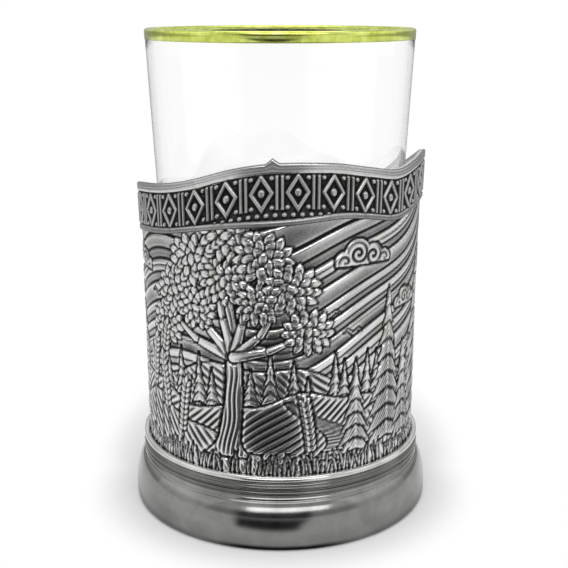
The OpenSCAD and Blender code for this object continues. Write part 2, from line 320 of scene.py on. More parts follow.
def map_range(tree, value, low, high):
    """A smooth step from 0 at low to 1 at high."""
    inputs = {"Value": value, "From Min": low, "From Max": high}
    return add_node(tree, "MapRange", inputs, interpolation_type="SMOOTHSTEP").outputs["Result"]


def mix_colours(tree, share, a, b, blend="MIX"):
    inputs = {"Factor": share, "A": a, "B": b}
    return add_node(tree, "Mix", inputs, data_type="RGBA", blend_type=blend).outputs["Result"]


def mix_shaders(tree, share, a, b):
    return add_node(tree, "MixShader", {"Fac": share, 1: a, 2: b}).outputs["Shader"]


def bump(tree, shader, height, depth_mm, strength):
    inputs = {"Strength": strength, "Distance": depth_mm * MM, "Height": height}
    feed(tree, shader, {"Normal": add_node(tree, "Bump", inputs).outputs["Normal"]})


SILVER_TONES = ((0.16, (0.013,)), (0.36, (0.065,)), (0.52, (0.205,)), (0.7, (0.43,)), (0.91, (0.72,)))
SILVER_ROUGH = ((0.2, (0.62,)), (0.5, (0.4,)), (0.9, (0.2,)))
SILVER_GRAIN = 0.45
GRAIN_SHARE = 0.3
TARNISH_SIZE = 6
TARNISH_SHARES = ((0.56, (0,)), (0.74, (0.32,)))
TARNISH_TINT = (0.62, 0.6, 0.36)
NICKEL_LEVEL = 0.245
# The bead uses a lighter copy of the same nickel: a painted highlight, so that it reads as a bright line.
BEAD_HIGHLIGHT_LEVEL = 0.6
NICKEL_TINT = (1, 1, 0.98)
NICKEL_SHARES = (0.8, 1.15, 0.5)
PIT_SHARES = ((0.66, (0,)), (0.78, (0.5,)))
# Painted shade on the foot's neck, between its shoulder and the bead.
NECK_SHADE_Z = 13.9
NECK_SHADE_FADE = 0.6
NECK_SHADE_TINT = (0.64, 0.64, 0.62)
GOLD_TINTS = ((0.3, (0.46, 0.52, 0.08)), (0.55, (0.64, 0.72, 0.16)), (0.8, (0.8, 0.88, 0.3)))
GOLD_ROUGH = ((0.3, (0.3,)), (0.7, (0.14,)))


def oxidised_silver():
    """Blackened relief rubbed bright on its high spots, with faint warm tarnish and fine pitting."""
    material, tree, shader = new_material("oxidised_silver")
    where = object_coords(tree)
    field = add_node(tree, "Attribute", {}, attribute_name="tone").outputs["Fac"]
    grain = noise(tree, where, SILVER_GRAIN, 4, 0.65)
    patches = noise(tree, where, TARNISH_SIZE)
    speckle = math_node(tree, "MULTIPLY_ADD", grain, GRAIN_SHARE, -GRAIN_SHARE / 2)
    worn = math_node(tree, "ADD", field, speckle)
    metal = ramp(tree, worn, SILVER_TONES)
    metal = mix_colours(tree, ramp(tree, patches, TARNISH_SHARES), metal, TARNISH_TINT, "MULTIPLY")
    feed(tree, shader, {"Base Color": metal, "Roughness": ramp(tree, worn, SILVER_ROUGH), "Metallic": 1})
    bump(tree, shader, grain, 0.03, 0.5)
    return material


def polished_nickel(name, level, shade_z=None):
    """Turned plate with fine rings of polish, soft smudges and small pits. Given a height, it is darkened
    above it with painted shade.
    """
    material, tree, shader = new_material(name)
    low, high, pit = (tuple(level * share * np.array(NICKEL_TINT)) for share in NICKEL_SHARES)
    where = object_coords(tree)
    rings = noise(tree, scaled(tree, where, (0.02, 0.02, 1)), 0.35, 3, 0.6)
    smudges = noise(tree, where, 9, 4, 0.6)
    pits = noise(tree, where, 0.6, 2)
    tint = ramp(tree, smudges, ((0.35, low), (0.7, high)))
    tint = mix_colours(tree, ramp(tree, pits, PIT_SHARES), tint, pit)
    # Painted shade: the metal is darker above the given height.
    if shade_z is not None:
        painted_shade = map_range(tree, parts_of(tree, where)["Z"], (shade_z - NECK_SHADE_FADE) * MM, shade_z * MM)
        tint = mix_colours(tree, painted_shade, tint, NECK_SHADE_TINT, "MULTIPLY")
    rough = math_node(tree, "MULTIPLY_ADD", smudges, 0.14, 0.09)
    feed(tree, shader, {"Base Color": tint, "Roughness": rough, "Metallic": 1})
    bump(tree, shader, rings, 0.02, 0.25)
    return material


def clear_glass():
    """Thin clear soda glass with a very faint wave in its surface."""
    material, tree, shader = new_material("clear_glass")
    inputs = {"Base Color": (0.996, 1, 0.998), "Roughness": 0, "IOR": 1.5, "Transmission Weight": 1}
    feed(tree, shader, inputs)
    bump(tree, shader, noise(tree, scaled(tree, object_coords(tree), (1, 1, 0.4)), 14, 1), 0.05, 0.2)
    return material


def fired_gold():
    """Burnished liquid gold, thin and a little worn in spots."""
    material, tree, shader = new_material("fired_gold")
    where = object_coords(tree)
    patches = noise(tree, where, 3, 4, 0.6)
    tint, rough = ramp(tree, patches, GOLD_TINTS), ramp(tree, patches, GOLD_ROUGH)
    feed(tree, shader, {"Base Color": tint, "Roughness": rough, "Metallic": 1})
    bump(tree, shader, noise(tree, where, 0.5, 2), 0.01, 0.3)
    return material


SILVER = oxidised_silver()
NICKEL = polished_nickel("polished_nickel", NICKEL_LEVEL)
# The foot's nickel, with painted shade on its neck.
NICKEL_NECK_SHADED = polished_nickel("nickel_neck_shaded", NICKEL_LEVEL, NECK_SHADE_Z)
# Lighter copy of the nickel for the bead: painted highlight.
NICKEL_BEAD_HIGHLIGHT = polished_nickel("nickel_bead_highlight", BEAD_HIGHLIGHT_LEVEL)
GLASS = clear_glass()
GOLD = fired_gold()


# Relief on the sleeve: a river valley under a windy sky, with oaks, firs and wheat

MARGIN = 0.8


class Relief:
    """A field of heights over (u, v): millimetres round the sleeve from the front, and above the table."""

    def __init__(self, u, v):
        self.u, self.v = u, v
        self.h = np.zeros_like(u)

    def lay(self, sdf, top, where=None, soft=0.3, line=0.55, cut=0.34):
        """Lays a layer over what is there. Its edge is where sdf is zero, and a dark line is cut round it."""
        pick = slice(None) if where is None else where
        inside = smooth_step(0, soft, -sdf)
        groove = cut * (1 - smooth_step(0, line, np.abs(sdf + soft * 0.2)))
        self.h[pick] = self.h[pick] * (1 - inside) + top * inside - groove * (sdf > -soft)

    def near(self, u0, v0, u1, v1, margin):
        """The points in a box with a margin round it."""
        return ((self.u > min(u0, u1) - margin) & (self.u < max(u0, u1) + margin)
                & (self.v > min(v0, v1) - margin) & (self.v < max(v0, v1) + margin))

    def stroke(self, a, b, ra, rb, height, cut=0.3):
        """A rounded bar from a to b that tapers from radius ra to rb."""
        pick = self.near(*a, *b, max(ra, rb) + MARGIN)
        if not pick.any():
            return
        u, v = self.u[pick] - a[0], self.v[pick] - a[1]
        du, dv = b[0] - a[0], b[1] - a[1]
        t = np.clip((u * du + v * dv) / (du * du + dv * dv), 0, 1)
        sdf = np.hypot(u - t * du, v - t * dv) - (ra + (rb - ra) * t)
        dome = height * np.clip(-sdf / max(ra, rb), 0, 1) ** 0.5
        self.lay(sdf, 0.12 + dome, pick, soft=0.2, line=0.45, cut=cut)

    def grain(self, centre, length, width, angle, height):
        """A pointed seed or leaf with a crease along its middle."""
        pick = self.near(*centre, *centre, length / 2 + MARGIN)
        if not pick.any():
            return
        u, v = self.u[pick] - centre[0], self.v[pick] - centre[1]
        c, s = math.cos(angle), math.sin(angle)
        along, across = u * c + v * s, -u * s + v * c
        half = width / 2 * np.clip(1 - (2 * along / length) ** 2, 0, 1)
        sdf = np.maximum(np.abs(across) - half, np.abs(along) - length / 2)
        crease = 0.16 * (1 - smooth_step(0, 0.3, np.abs(across)))
        dome = height * np.clip(-sdf / (width / 2), 0, 1) ** 0.5 - crease
        self.lay(sdf, 0.16 + dome, pick, soft=0.2, line=0.45, cut=0.3)


BAND = 5.2
BAND_SHADES = 80
BAND_TILT = 0.36
HORIZON = 43
RIVER_U = 2
CLOUD_ROUNDS = ((-1.5, -0.1, 0.75), (-0.55, 0.35, 1), (0.6, 0.15, 0.85), (1.6, -0.15, 0.6))
LEAF_RINGS = ((1.0, 13), (0.62, 9), (0.26, 4))
OAK_TIPS = ((-17, 0.62), (-11, 0.8), (-3, 0.95), (7, 0.9), (15, 0.74), (19, 0.56))
OAK_CLUMPS = (
    (-19, 0.56, 5), (-15, 0.72, 5.4), (-8, 0.66, 4.6), (-9, 0.87, 5.6), (0, 0.79, 5), (1, 0.99, 5.6),
    (9, 0.7, 4.6), (10, 0.9, 5.6), (17, 0.77, 5.4), (21, 0.58, 5))
TRUNK_SHARE = 0.72
TRUNK_BEND = 2.4
SEED_PITCH = 1.55
AWN = 3.6


def sky(relief, rng):
    """Long bands of wind that sweep up to the right between dark grooves, some split by thin lines."""
    u = relief.u
    flow = relief.v - 0.32 * u + 7 * np.sin(u / 21 + 0.9) + 2.2 * np.sin(u / 8.3 + relief.v / 30)
    flow = flow + 2.6 * np.sin(flow / 9)
    place = flow / BAND
    index = np.floor(place).astype(int)
    share = place - index
    shades = np.array([rng.uniform(0.02, 0.2) for _ in range(BAND_SHADES)])
    edge = np.minimum(share, 1 - share) * BAND
    band = shades[index % BAND_SHADES] + BAND_TILT * (share - 0.5)
    band -= 0.26 * (1 - smooth_step(0, 0.42, np.abs(share - 0.45) * BAND)) * (index % 3 != 1)
    band -= 0.2 * (1 - smooth_step(0, 0.36, np.abs(share - 0.75) * BAND)) * (index % 4 == 2)
    relief.h[:] = band - 0.42 * (1 - smooth_step(0.05, 0.6, edge))


def cloud(relief, u, v, size, turns):
    """A scrolled cloud: rounds with a curl cut into each."""
    pick = relief.near(u, v, u, v, size * 2.6)
    if not pick.any():
        return
    x, y = relief.u[pick] - u, relief.v[pick] - v
    sdf = np.full(x.shape, 9.0)
    curls = np.zeros_like(x)
    for cu, cv, r in CLOUD_ROUNDS:
        d = np.hypot(x - cu * size, y - cv * size)
        spin = np.arctan2(y - cv * size, x - cu * size) / (2 * math.pi)
        curl = np.cos(2 * math.pi * (d / (size * 0.42) - spin * turns))
        curls = np.where(d - r * size < sdf, curl, curls)
        sdf = np.minimum(sdf, d - r * size)
    sdf = np.maximum(sdf, -(y + 0.45 * size))
    relief.lay(sdf, 0.26 + 0.14 * curls, pick, cut=0.36)


def hill(relief, line, height, hatch_angle, pitch, grade=0.06):
    """Ground below a line, cut with hatching that follows its slope."""
    sdf = relief.v - line
    c, s = math.cos(hatch_angle * DEG), math.sin(hatch_angle * DEG)
    wave = np.cos(2 * math.pi * (relief.u * c + relief.v * s + 0.8 * np.sin(relief.u / 5)) / pitch)
    top = height + 0.11 * squared(wave, 0.6) + grade * np.clip(1 + sdf / 5, 0, 1)
    relief.lay(sdf, top, cut=0.4)


def river(relief, top_v, low_v):
    """Water that widens towards the front, with long ripples."""
    t = np.clip((top_v - relief.v) / (top_v - low_v), 0, 1)
    middle = RIVER_U + 16 * np.sin(t * 3.6) * t + 13 * t
    half = 1.2 + 9.5 * t ** 1.4
    sdf = np.maximum(np.abs(relief.u - middle) - half, relief.v - top_v)
    phase = relief.v / (0.8 + 0.9 * t) + 0.5 * np.sin((relief.u - middle) / (1.2 + 1.8 * t))
    top = 0.1 + 0.13 * np.cos(2 * math.pi * phase * 0.75)
    relief.lay(sdf, top, cut=0.32)


def fir(relief, u, v, tall, wide, tiers, height=0.42):
    """A fir tree: drooping tiers with needles cut into them, on a short trunk."""
    relief.stroke((u, v - 1.5), (u, v + tall * 0.2), wide * 0.06, wide * 0.04, height * 0.7)
    pick = relief.near(u - wide / 2, v, u + wide / 2, v + tall, 1)
    if not pick.any():
        return
    x, y = np.abs(relief.u[pick] - u), relief.v[pick] - v
    t = y / tall + 0.42 * x / tall
    steps = t * tiers
    saw = steps - np.floor(steps)
    half = wide / 2 * np.clip(1.02 - t, 0, 1) * (1 - 0.5 * saw) + 0.15
    sdf = np.maximum(x - half, -(y + 0.3 * x))
    needles = np.cos(2 * math.pi * (y + 1.5 * x) / 1.35)
    spine = 0.14 * np.clip(1 - x / 0.7, 0, 1)
    shade = 0.26 * (1 - smooth_step(0, 0.22, np.minimum(saw, 1 - saw))) * (x < half)
    top = height * (1 - 0.25 * x / (wide / 2)) + 0.11 * needles + spine - shade
    relief.lay(sdf, top, pick, soft=0.25, line=0.6, cut=0.4)


def leaf_clump(relief, u, v, size, rng):
    """Leaves in rings round a middle, the outer ones underneath."""
    for ring, leaves in LEAF_RINGS:
        start = rng.uniform(0, 1)
        for k in range(leaves):
            turn = 2 * math.pi * (k + start) / leaves
            centre = (u + ring * size * math.cos(turn), v + ring * size * 0.86 * math.sin(turn))
            relief.grain(centre, size * 0.82, size * 0.46, turn + rng.uniform(-0.35, 0.35), 0.36)
    relief.grain((u, v), size * 0.7, size * 0.42, rng.uniform(0, 3), 0.4)


def oak(relief, u, v, tall, rng):
    """A broad tree: a bent trunk with furrowed bark, forked branches and clumps of leaves."""
    x, y = relief.u - u, relief.v - v
    t = np.clip(y / (tall * TRUNK_SHARE), 0, 1)
    bend = TRUNK_BEND * np.sin(t * 3)
    half = 1.9 + 1.5 * (1 - t) ** 2 + 3.4 * np.clip(1 - y / 6, 0, 1) ** 2
    sdf = np.maximum(np.abs(x - bend) - half, np.maximum(-y, y - tall * TRUNK_SHARE))
    furrow = np.cos(2 * math.pi * ((x - bend) / 1.25 + 0.22 * np.sin(y / 2.1)))
    relief.lay(sdf, 0.3 - 0.1 * (np.abs(x - bend) / half) ** 2 + 0.13 * furrow, soft=0.3, line=0.8, cut=0.42)
    fork = (u + TRUNK_BEND * math.sin(0.62 * 3), v + tall * 0.46)
    for du, share in OAK_TIPS:
        tip = (u + du, v + tall * share)
        middle = (fork[0] + 0.55 * (tip[0] - fork[0]), fork[1] + 0.38 * (tip[1] - fork[1]))
        relief.stroke(fork, middle, 1.5, 1.05, 0.3)
        relief.stroke(middle, tip, 1.05, 0.5, 0.3)
    for du, share, size in OAK_CLUMPS:
        leaf_clump(relief, u + du, v + tall * share, size, rng)


def wheat(relief, foot, lean, tall, grains=9):
    """An ear of wheat on a bent stalk, with its awns."""
    def place(t):
        return foot[0] + lean * t * t, foot[1] + tall * t

    stalk = [place(t) for t in np.linspace(0, 1, 9)]
    for a, b in zip(stalk[:-1], stalk[1:]):
        relief.stroke(a, b, 0.42, 0.36, 0.22)
    start = 1 - grains * SEED_PITCH / tall
    for k in range(grains):
        t = start + (1 - start) * k / grains
        u, v = place(t)
        nu, nv = place(t + 0.02)
        along = math.atan2(nv - v, nu - u)
        for side in (-1, 1):
            turn = along + side * 0.62
            awn = along + side * 0.3
            centre = (u + 1.25 * math.cos(turn), v + 1.25 * math.sin(turn))
            tip = (centre[0] + AWN * math.cos(awn), centre[1] + AWN * math.sin(awn))
            relief.stroke(centre, tip, 0.2, 0.1, 0.16, cut=0.16)
            relief.grain(centre, 2.9, 1.5, turn, 0.34)
    u, v = place(1)
    relief.grain((u, v + 0.6), 3, 1.5, math.atan2(tall, 2 * lean), 0.36)


def grass(relief, rng, low_v, from_u, to_u, pitch):
    """Tufts of blades along the lower edge."""
    for k in range(int((to_u - from_u) / pitch)):
        u = from_u + pitch * (k + rng.uniform(-0.3, 0.3))
        for _ in range(3):
            lean = rng.uniform(-2.2, 2.2)
            tall = rng.uniform(2.8, 6)
            middle = (u + lean * 0.35, low_v + tall * 0.6)
            relief.stroke((u, low_v - 0.5), middle, 0.5, 0.4, 0.2)
            relief.stroke(middle, (u + lean, low_v + tall), 0.4, 0.15, 0.2)


def bird(relief, u, v, size):
    """A far bird: two bent wings."""
    for side in (-1, 1):
        bend = (u + side * size * 0.55, v + size * 0.42)
        relief.stroke((u, v), bend, 0.42, 0.36, 0.3)
        relief.stroke(bend, (u + side * size, v + size * 0.18), 0.36, 0.16, 0.3)


CLOUDS = (
    (22, 74, 3.9, 1), (-48, 69, 3.6, -1), (64, 66, 4.2, 1), (-80, 62, 4, -1), (40, 60, 3, -1),
    (100, 58, 4, 1))
BIRDS = ((12, 60, 3.6), (19, 55, 2.8), (-37, 62, 3), (50, 71, 3))
FIRS = (
    (31, 25, 40, 18, 9), (48, 23, 47, 20, 10), (20, 24, 24, 11, 7), (39, 20, 29, 14, 7), (-54, 24, 43, 19, 9),
    (-67, 21, 32, 15, 7), (66, 21, 36, 16, 8), (81, 23, 40, 18, 9), (-80, 23, 40, 18, 9), (97, 20, 31, 14, 7))
EARS = (
    (-42, 3, 31), (-37, 4, 36), (-33, -3, 27), (-47, -4, 28), (56, -4, 34), (60, 3, 30), (104, -3, 36),
    (-94, 3, 34), (-99, -3, 30), (8, -2, 20), (-28, 2, 22))
OAKS = ((-14, 23, 58), (-112, 22, 58))
FAR_FIRS = 46
FAR_FIR_PITCH = 5
FROM_U = -112
EARS_V = 19
GRASS = (19.4, -114, 114, 2.3)


def compose(relief):
    """The whole picture, from the sky at the back to the grass at the front."""
    rng = random.Random(11)
    u = relief.u
    sky(relief, rng)
    for cu, cv, size, turns in CLOUDS:
        cloud(relief, cu, cv, size, turns)
    for bu, bv, size in BIRDS:
        bird(relief, bu, bv, size)
    hill(relief, HORIZON + 1.5 + 3.2 * np.sin(u / 12.5 + 2.2) + 1.2 * np.sin(u / 4.1), 0.08, 52, 1.7)
    for k in range(FAR_FIRS):
        place = FROM_U + FAR_FIR_PITCH * k + rng.uniform(-1.4, 1.4)
        fir(relief, place, 37 + rng.uniform(-1.2, 1.5), rng.uniform(8.5, 13), 5.4, 5, 0.2)
    hill(relief, 38 + 2.4 * np.sin(u / 9 + 0.6) + 0.8 * np.sin(u / 3.2), 0.18, 128, 1.6)
    river(relief, 38.6, 19)
    banks = 30 + 4.5 * np.cos((u - 28) / 10.5) + 1.2 * np.sin(u / 3.6)
    hill(relief, np.where((u > 22) | (u < -4), banks, 10), 0.24, 38, 1.9)
    for place, foot, tall in OAKS:
        oak(relief, place, foot, tall, rng)
    for place, foot, tall, wide, tiers in FIRS:
        fir(relief, place, foot, tall, wide, tiers)
    for place, lean, tall in EARS:
        wheat(relief, (place, EARS_V), lean, tall)
    grass(relief, rng, *GRASS)


FRONT_HALF = 100
RELIEF_ROWS = 161
RELIEF_STEPS = (0.5, 0.9)
RIBBON_ROWS = 61
RIBBON_STEPS = (0.3, 0.6)
BEHIND_RIBBON = 1.2
RELIEF_LIMITS = (-0.5, 0.62)
RELIEF_SUNK = 0.12
EDGE_ROUND = 0.15
OUTSIDE_ROWS = ((0.5, 0), (0.985, 0), (1, EDGE_ROUND))
INSIDE_ROWS = ((1, SHEET - EDGE_ROUND), (0.98, SHEET), (0.66, SHEET), (0.33, SHEET), (0, SHEET))
PLAIN_TONE = 0.95


def ring_azimuths(front_step, back_step):
    """Azimuths round the holder, closer together at the front."""
    front = np.arange(round(2 * FRONT_HALF / front_step)) * front_step - FRONT_HALF
    back = np.arange(round((360 - 2 * FRONT_HALF) / back_step)) * back_step + FRONT_HALF
    back = np.where(back >= 180, back - 360, back)
    return np.concatenate([back[back < 0], front, back[back >= 0]])


def halved(field):
    """Every second point of a field, each averaged with its neighbours."""
    side = (2 * field + np.roll(field, 1, axis=1) + np.roll(field, -1, axis=1)) / 4
    padded = np.pad(side, ((1, 1), (0, 0)), mode="edge")
    return ((2 * side + padded[:-2] + padded[2:]) / 4)[::2, ::2]


def make_sleeve():
    """The embossed sheet: the relief up to the ribbon, plain sheet behind the ribbon, and the inner side."""
    fine = ring_azimuths(RELIEF_STEPS[0] / 2, RELIEF_STEPS[1] / 2)
    low = SLEEVE_LOW[2]
    t = np.linspace(0, 1, 2 * RELIEF_ROWS - 1)[:, None]
    high = ribbon_low(fine) + BEHIND_RIBBON
    z = low + (high - low) * t
    relief = Relief(np.broadcast_to(np.radians(fine) * WAIST_R, z.shape).copy(), z.copy())
    compose(relief)
    edge = smooth_step(0, 1.2, z - low) * smooth_step(0, 0.6, high - z)
    heights = np.clip(relief.h, *RELIEF_LIMITS) * edge
    tones = halved(tone_of(heights, 2, 8))
    heights = halved(heights + 0.04 * np.sin(relief.u / 7.3 + 1.1 * np.sin(z / 5.1)) * edge)
    azimuths, z, high = fine[::2], z[::2, ::2], high[::2]
    rows = [on_ring(azimuths, wall_r(z) + heights - RELIEF_SUNK, z)]
    rim = rim_z(azimuths) + finial_z(azimuths)
    for share, inset in OUTSIDE_ROWS:
        level = high + (rim - high) * share
        rows.append(on_ring(azimuths, wall_r(level) - inset, level))
    for share, inset in INSIDE_ROWS:
        level = low + (rim - low) * share
        rows.append(on_ring(azimuths, wall_r(level) - inset, level))
    columns = len(azimuths)
    count = len(rows) - 1 + RELIEF_ROWS
    tone = np.full((count, columns), PLAIN_TONE)
    tone[:RELIEF_ROWS] = tones
    faces = grid_faces(count, columns, wrap_rows=True, wrap_columns=True)
    return add_mesh("sleeve_relief", np.concatenate(rows), faces, SILVER, "holder",
                    ["body_shell"], tone)


# Ribbon band: lozenges between upright bars on a sunk ground, with rolls along both edges

CELL = 8.4
GROUND = -0.42
ORNAMENT_H = 0.52
ORNAMENT_DROP = 6.8
LOZENGE = (2.4, 3.9)
BAR_FROM_EDGE = 0.62
CORNER_DOTS = (2.4, 3.5)
PEARL_DROP = 5.35
PEARLS = 4
ROLL_W = (2.35, 1.5)
ROLL_LINES = (1.25, 0.75)
# Painted highlight along the ribbon's top border: its tone is lifted there.
BORDER_HIGHLIGHT = 0.38
BORDER_HIGHLIGHT_FADE = (2.5, 2.1)
RIBBON_TONES = (0.11, 0.62)
RIBBON_BACK = 0.2


def ribbon_pattern(u, from_top, from_low):
    """Heights of the ornament, by place round the holder and distances from the ribbon's two edges."""
    y = ORNAMENT_DROP - from_top
    x = (u / CELL - np.floor(u / CELL) - 0.5) * CELL
    pearl_x = (u / CELL * PEARLS - np.floor(u / CELL * PEARLS) - 0.5) * CELL / PEARLS
    parts = (
        np.abs(np.abs(x) / LOZENGE[0] + np.abs(y) / LOZENGE[1] - 1) * 2.0 - 0.42,
        np.hypot(x, y * 0.8) - 0.75,
        np.maximum(np.abs(np.abs(x) - (CELL / 2 - BAR_FROM_EDGE)) - 0.34, np.abs(y) - 4.1),
        np.hypot(np.abs(x) - CORNER_DOTS[0], np.abs(y) - CORNER_DOTS[1]) - 0.5,
        np.hypot(pearl_x, y + PEARL_DROP) - 0.5)
    sdf = np.minimum.reduce(parts)
    h = GROUND + ORNAMENT_H * smooth_step(-0.25, 0.25, -sdf)
    for away, width, line in zip((from_top, from_low), ROLL_W, ROLL_LINES):
        roll = 0.1 + 0.07 * np.cos(2 * np.pi * away / line) - 0.3 * smooth_step(0.35, 0, away)
        h = np.where(away < width, roll, h)
        h -= 0.34 * (1 - smooth_step(0, 0.3, np.abs(away - width)))
        h -= 0.2 * (1 - smooth_step(0, 0.24, np.abs(away - line)))
    return h


def make_ribbon():
    fine = ring_azimuths(RIBBON_STEPS[0] / 2, RIBBON_STEPS[1] / 2)
    t = np.linspace(0, 1, 2 * RIBBON_ROWS - 1)[:, None]
    rim, low = rim_z(fine), ribbon_low(fine)
    z = low + (rim - low) * t
    u = np.broadcast_to(np.radians(fine) * WAIST_R, z.shape)
    h = ribbon_pattern(u, rim - z, z - low)
    # Painted highlight: the ribbon's top border is made lighter.
    painted_highlight = BORDER_HIGHLIGHT * smooth_step(*BORDER_HIGHLIGHT_FADE, rim - z)
    tones = RIBBON_TONES[0] + RIBBON_TONES[1] * halved(tone_of(h, 2, 7) + painted_highlight)
    h = halved(h + 0.05 * np.sin(u / 9.1 + 0.7))
    azimuths = fine[::2]
    z = z[::2, ::2] + finial_z(azimuths) * smooth_step(0.86, 1, t[::2])
    rows = [on_ring(azimuths, wall_r(z) + RIBBON_PROUD + h, z)]
    top, bottom = z[-1], z[0]
    rows.append(on_ring(azimuths, wall_r(top) + 0.1, top + 0.12))
    rows.append(on_ring(azimuths, wall_r(top) - RIBBON_BACK, top))
    rows.append(on_ring(azimuths, wall_r(bottom) - RIBBON_BACK, bottom))
    columns = len(azimuths)
    count = len(rows) - 1 + RIBBON_ROWS
    tone = np.full((count, columns), 0.7)
    tone[:RIBBON_ROWS] = tones
    faces = grid_faces(count, columns, wrap_rows=True, wrap_columns=True)
    return add_mesh("ribbon_band", np.concatenate(rows), faces, SILVER, "holder", (), tone)


make_sleeve()
make_ribbon()


# Foot, floor pan and bead

SIDE_H = 2.4
SHOULDER_H = 10.2
LATENESS = 2.6
SHARPNESS = 1.7
FOOT_EDGE = 1.1
LEDGE = 1.3
ROLL_R = 2
ROLL_FROM = 21
ROLL_TO = 47
ROLL_UP = 0.5
ROLL_PROUD = 0.35
REED_R = 0.55
REED_SHARES = (0.44, 0.73)
FOOT_WALL = 1.2
LAND = 3.4
FLANGE_IN = 29
TURNED_EDGE = 0.2
LAND_EDGE = 0.3
PAN_SEGMENTS = 128


def shoulder_line(foot, neck, inward, steps):
    """The foot's side and shoulder, from its upright stretch up to its neck."""
    t = np.linspace(0, 1, steps)
    share = (1 - t ** LATENESS) ** (1 / SHARPNESS)
    return list(zip(neck + (foot - neck) * share - inward, SIDE_H + SHOULDER_H * t))


def make_foot():
    r, top = FOOT_HIGH[0], FOOT_HIGH[2]
    neck = wall_r(top) + LEDGE
    neck_low = SIDE_H + SHOULDER_H
    outer = arc(r - FOOT_EDGE, FOOT_EDGE, FOOT_EDGE, FOOT_EDGE, -90, 0, 8)
    outer += shoulder_line(r, neck, 0, 40)
    roll_r = neck + ROLL_PROUD - ROLL_R * math.cos(ROLL_FROM * DEG)
    roll_z = neck_low + ROLL_UP - ROLL_R * math.sin(ROLL_FROM * DEG)
    outer += arc(roll_r, roll_z, ROLL_R, ROLL_R, ROLL_FROM, ROLL_TO, 8)
    for share in REED_SHARES:
        outer += arc(neck, neck_low + share * (top - neck_low), REED_R, REED_R, -90, 90, 8)
    outer += arc(neck - TURNED_EDGE, top - TURNED_EDGE, TURNED_EDGE, TURNED_EDGE, 0, 90, 3)
    inner = [(FLANGE_IN, top), (FLANGE_IN, top - FOOT_WALL), (neck - FOOT_WALL, top - FOOT_WALL)]
    inner += shoulder_line(r, neck, FOOT_WALL, 16)[::-1]
    inner += [(r - FOOT_WALL, FOOT_WALL), (r - LAND, FOOT_WALL), (r - LAND, LAND_EDGE)]
    inner += arc(r - LAND + LAND_EDGE, LAND_EDGE, LAND_EDGE, LAND_EDGE, 180, 270, 3)
    lathe("foot_shell_polished", outer + inner, NICKEL_NECK_SHADED, "holder", ["foot_shell"])


def make_pan():
    r, low, top = PAN_HIGH[0] - TURNED_EDGE, PAN_LOW[2], PAN_HIGH[2]
    edge = arc(r, top - TURNED_EDGE, TURNED_EDGE, TURNED_EDGE, 0, 90, 3)
    profile = [(0, low), (r, low)] + edge + [(0, top)]
    lathe("floor_pan_polished", profile, NICKEL, "holder", ["floor_pan"], PAN_SEGMENTS)


def make_bead():
    r = (BEAD_HIGH[2] - BEAD_LOW[2]) / 2
    middle = BEAD_HIGH[0] - r
    lathe("base_bead_polished", arc(middle, BEAD_LOW[2] + r, r, r, 0, 345, 23), NICKEL_BEAD_HIGHLIGHT, "holder",
          ["base_bead"])


make_foot()
make_pan()
make_bead()


# Glass and its gilt lip

WALL = 1.3
BASE_T = 4.2
GLASS_BASE_R = 29.4
CORNER = 3
GLASS_HOLLOW = 0.6
GLASS_RING = (9, 7)
SIDE_MARGIN = 6
GILT_SHORT = 0.6
GILT_OFF = 0.04
GILT_T = 0.05
GILT_OVER = 170


def glass_r(z):
    """Outer radius of the glass at height z."""
    share = (z - GLASS_LOW[2]) / (GLASS_HIGH[2] - WALL / 2 - GLASS_LOW[2])
    return GLASS_BASE_R + (GLASS_HIGH[0] - GLASS_BASE_R) * share


def make_glass():
    low, top, r = GLASS_LOW[2], GLASS_HIGH[2], GLASS_HIGH[0]
    lip = WALL / 2
    inner_low = low + BASE_T
    profile = [(0, low + GLASS_HOLLOW), (glass_r(low) - GLASS_RING[0], low + GLASS_HOLLOW)]
    profile += [(glass_r(low) - GLASS_RING[1], low)]
    profile += arc(glass_r(low + CORNER) - CORNER, low + CORNER, CORNER, CORNER, -90, 0, 10)
    profile += [(glass_r(z), z) for z in np.linspace(low + CORNER + SIDE_MARGIN, top - SIDE_MARGIN, 12)]
    profile += arc(r - lip, top - lip, lip, lip, 0, 180, 12)
    down = np.linspace(top - SIDE_MARGIN, inner_low + CORNER + SIDE_MARGIN, 12)
    profile += [(glass_r(z) - WALL, z) for z in down]
    profile += arc(glass_r(inner_low) - WALL - CORNER, inner_low + CORNER, CORNER, CORNER, 0, -90, 10)
    profile += [(0, inner_low)]
    lathe("tea_glass_clear", profile, GLASS, "glass", ["tea_glass"])


def make_gilt():
    top, r = GLASS_HIGH[2], GLASS_HIGH[0]
    lip = WALL / 2
    low = GILT_LOW[2] + GILT_SHORT
    under_r = lip + GILT_OFF
    over_r = under_r + GILT_T
    over = arc(r - lip, top - lip, over_r, over_r, 0, GILT_OVER, 12)
    under = arc(r - lip, top - lip, under_r, under_r, GILT_OVER, 0, 12)
    side = glass_r(low) + GILT_OFF
    profile = [(side, low), (side + GILT_T, low)] + over + under
    lathe("gilt_rim_fired", profile, GOLD, "glass", ["gilt_rim"])


make_glass()
make_gilt()


# Seam plate, strap handle and thumb rest

